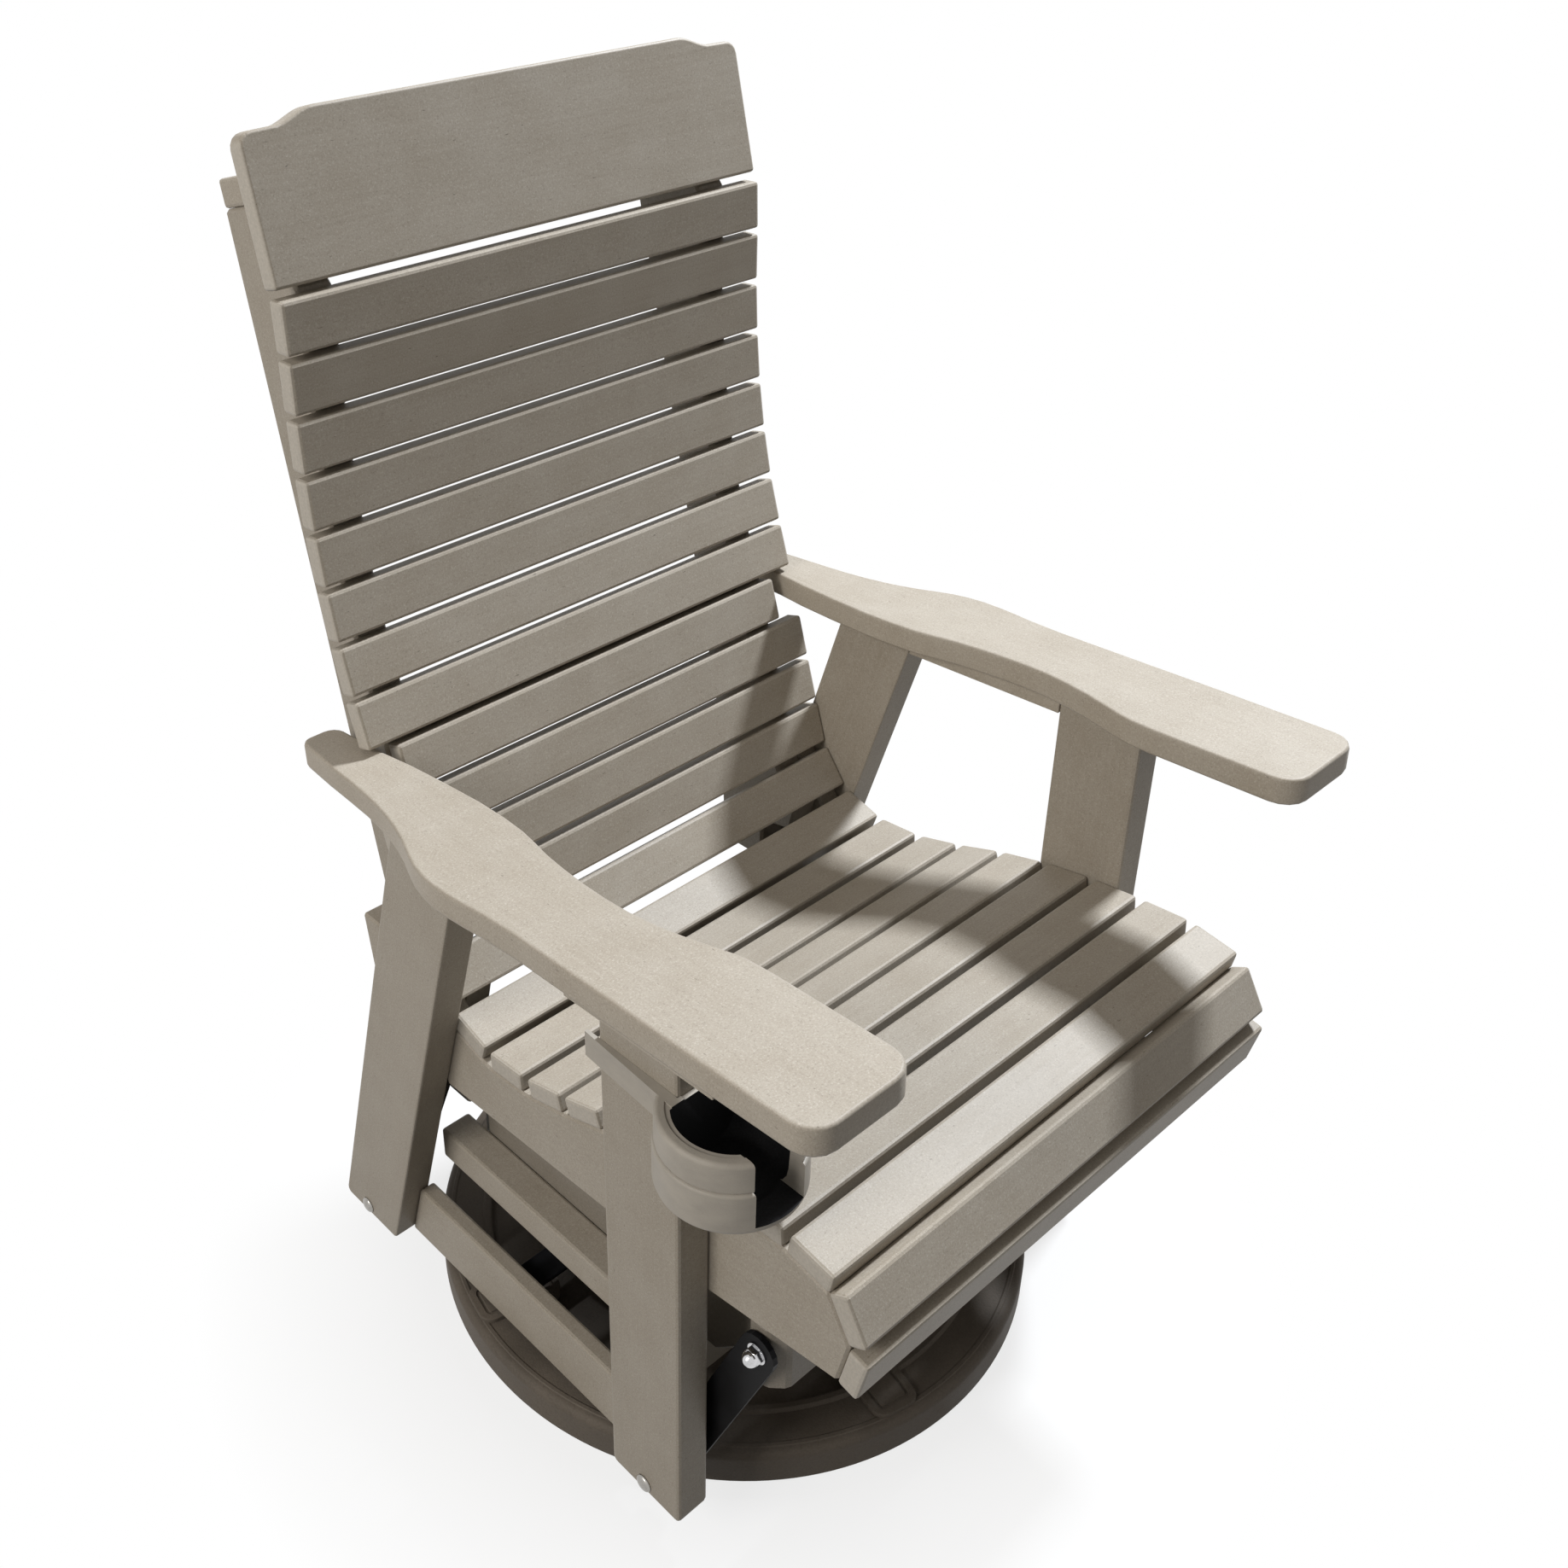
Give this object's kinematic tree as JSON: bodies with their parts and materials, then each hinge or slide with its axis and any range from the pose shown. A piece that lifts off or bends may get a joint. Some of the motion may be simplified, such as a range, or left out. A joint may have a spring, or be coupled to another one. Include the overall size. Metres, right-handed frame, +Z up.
{
  "type": "swivel glider chair",
  "caption": "Slatted plastic-lumber garden armchair that glides on hanging steel links over a swivelling frame on a round floor disc, with wide armrests and a slotted cup holder.",
  "frame": {"origin": "on the floor at the centre of the floor disc's underside", "axes": "+Z up, -Y the way the chair faces, +X the sitter's left"},
  "size_m": [0.679, 0.7678, 1.145],
  "materials": {
    "lumber": "weathered taupe plastic lumber with a fine grain",
    "lumber_shade": "the same lumber, on the shaded base frame",
    "moulded": "smooth moulded plastic",
    "disc_plastic": "pebbled moulded plastic",
    "black_steel": "satin black powder coat",
    "stainless": "satin stainless steel",
    "chrome": "bright chrome"
  },
  "bodies": {
    "floor_base": {"floor_disc": "disc_plastic", "swivel_plate_lower": "black_steel", "swivel_ball_cage": "stainless"},
    "base_frame": {"swivel_plate_upper": "black_steel", "base_beam_front": "lumber_shade", "base_beam_rear": "lumber_shade", "base_cradle": "lumber_shade", "base_rail_left": "lumber_shade", "base_rail_right": "lumber_shade", "pivot_rod_front": "chrome", "pivot_rod_rear": "chrome"},
    "front_links": {"link_front_left": "black_steel", "link_front_right": "black_steel"},
    "rear_links": {"link_rear_left": "black_steel", "link_rear_right": "black_steel"},
    "chair_body": {"armrest_left": "lumber", "armrest_right": "lumber", "back_post_left": "lumber", "back_post_right": "lumber", "crest_board": "lumber", "cup_holder": "moulded", "leg_front_left": "lumber", "leg_front_right": "lumber", "leg_rear_left": "lumber", "leg_rear_right": "lumber", "pivot_bolt_front_left": "stainless", "pivot_bolt_front_right": "stainless", "pivot_bolt_rear_left": "stainless", "pivot_bolt_rear_right": "stainless", "rail_back_arm": "lumber", "rail_back_top": "lumber", "seat_panel_left": "lumber", "seat_panel_right": "lumber", "slat_back_01": "lumber", "slat_back_02": "lumber", "slat_back_03": "lumber", "slat_back_04": "lumber", "slat_back_05": "lumber", "slat_back_06": "lumber", "slat_back_07": "lumber", "slat_back_08": "lumber", "slat_back_09": "lumber", "slat_back_10": "lumber", "slat_back_11": "lumber", "slat_back_12": "lumber", "slat_back_13": "lumber", "slat_front_01": "lumber", "slat_front_02": "lumber", "slat_front_03": "lumber", "slat_seat_01": "lumber", "slat_seat_02": "lumber", "slat_seat_03": "lumber", "slat_seat_04": "lumber", "slat_seat_05": "lumber", "slat_seat_06": "lumber", "slat_seat_07": "lumber", "slat_seat_08": "lumber", "stretcher_left": "lumber", "stretcher_right": "lumber", "stretcher_tie": "black_steel"}
  },
  "joints": [
    {"name": "swivel_turn", "type": "hinge", "parent": "floor_base", "child": "base_frame", "pos_m": [0, 0, 0.05], "axis": [0, 0, 1], "continuous": true},
    {"name": "glide", "type": "hinge", "parent": "base_frame", "child": "front_links", "pos_m": [0, -0.285, 0.2816], "axis": [1, 0, 0], "range_deg": [0, 15]},
    {"name": "rear_link_swing", "type": "hinge", "parent": "base_frame", "child": "rear_links", "pos_m": [0, 0.142, 0.2816], "axis": [1, 0, 0], "range_deg": [0, 15]},
    {"name": "chair_on_front_links", "type": "hinge", "parent": "front_links", "child": "chair_body", "pos_m": [0, -0.193, 0.058], "axis": [1, 0, 0], "range_deg": [-15, 0]}
  ],
  "couplings": [
    {"joint": "rear_link_swing", "follows": "glide", "ratio": 1},
    {"joint": "chair_on_front_links", "follows": "glide", "ratio": -1}
  ]
}
